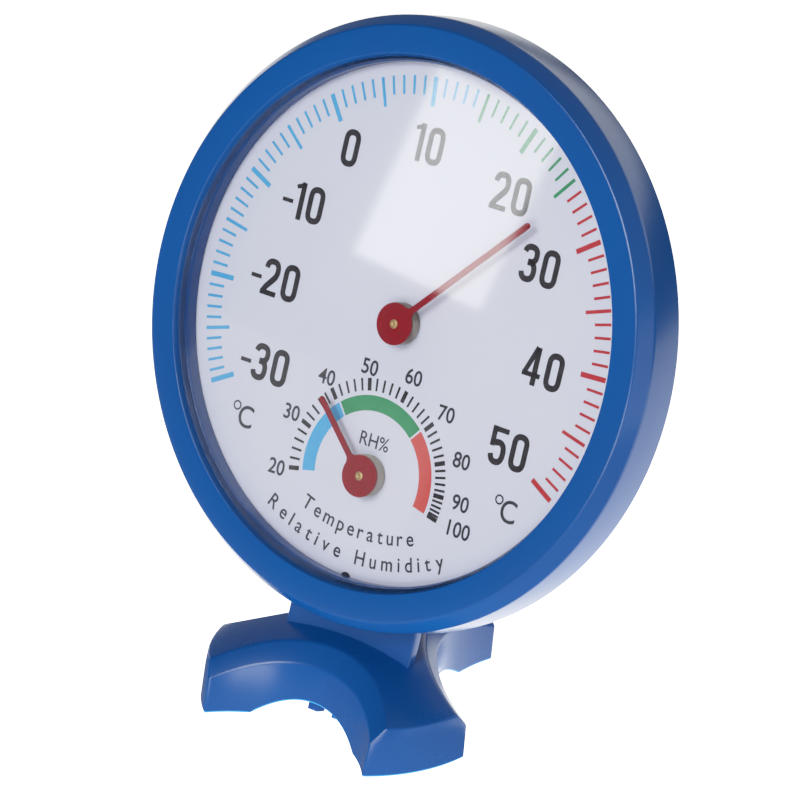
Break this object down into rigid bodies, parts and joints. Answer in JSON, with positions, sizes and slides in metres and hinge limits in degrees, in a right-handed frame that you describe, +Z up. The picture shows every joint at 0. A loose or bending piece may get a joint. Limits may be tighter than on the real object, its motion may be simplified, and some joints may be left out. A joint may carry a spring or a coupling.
{
  "type": "dial thermometer and hygrometer",
  "caption": "Round dial thermometer and hygrometer, blue case leaning back on a three-legged stand; lifts off the stand and hangs by a slot.",
  "frame": {"origin": "middle of the bounding box at floor level", "axes": "+Z up, -Y towards the reader (the dial faces forward and leans back 20.7 degrees), +X to the reader's right"},
  "size_m": [0.128, 0.0682, 0.1424],
  "materials": {
    "blue_plastic": "semi-gloss",
    "clear_plastic": "polished",
    "dial_white": "matte, printed",
    "pointer_red": "satin",
    "brass": "turned",
    "steel": "plated",
    "bimetal_strip": "rolled strip",
    "humidity_strip": "coated strip"
  },
  "bodies": {
    "stand": {"stand_moulding": "blue_plastic"},
    "case": {"front_bezel": "blue_plastic", "rear_cover": "blue_plastic", "spacer_ring": "blue_plastic", "lens": "clear_plastic", "dial_plate": "dial_white", "thermo_bush": "brass", "hygro_bush": "brass", "case_screw_1": "steel", "case_screw_2": "steel", "case_screw_3": "steel", "case_screw_4": "steel"},
    "thermo_movement": {"thermo_pin": "brass", "thermo_washer": "steel", "thermo_coil": "bimetal_strip"},
    "thermo_needle": {"thermo_pointer": "pointer_red"},
    "hygro_movement": {"hygro_pin": "brass", "hygro_washer": "steel", "hygro_coil": "humidity_strip"},
    "hygro_needle": {"hygro_pointer": "pointer_red"}
  },
  "joints": [
    {"name": "case_lift", "type": "slide", "parent": "stand", "child": "case", "axis": [0, 0.3535, 0.9354], "range_m": [0, 0.022]},
    {"name": "thermo_calibration", "type": "hinge", "parent": "case", "child": "thermo_movement", "pos_m": [0, 0.00625, 0.0818], "axis": [0, 0.9354, -0.3535], "range_deg": [-15, 15]},
    {"name": "temperature", "type": "hinge", "parent": "thermo_movement", "child": "thermo_needle", "pos_m": [0, 0.00625, 0.0818], "axis": [0, 0.9354, -0.3535], "range_deg": [-162.6, 75], "stiffness_Nm_per_rad": 0.0005},
    {"name": "hygro_calibration", "type": "hinge", "parent": "case", "child": "hygro_movement", "pos_m": [0, -0.00527, 0.0513], "axis": [0, 0.9354, -0.3535], "range_deg": [-15, 15]},
    {"name": "humidity", "type": "hinge", "parent": "hygro_movement", "child": "hygro_needle", "pos_m": [0, -0.00527, 0.0513], "axis": [0, 0.9354, -0.3535], "range_deg": [-57.8, 149.9], "stiffness_Nm_per_rad": 0.0005}
  ]
}
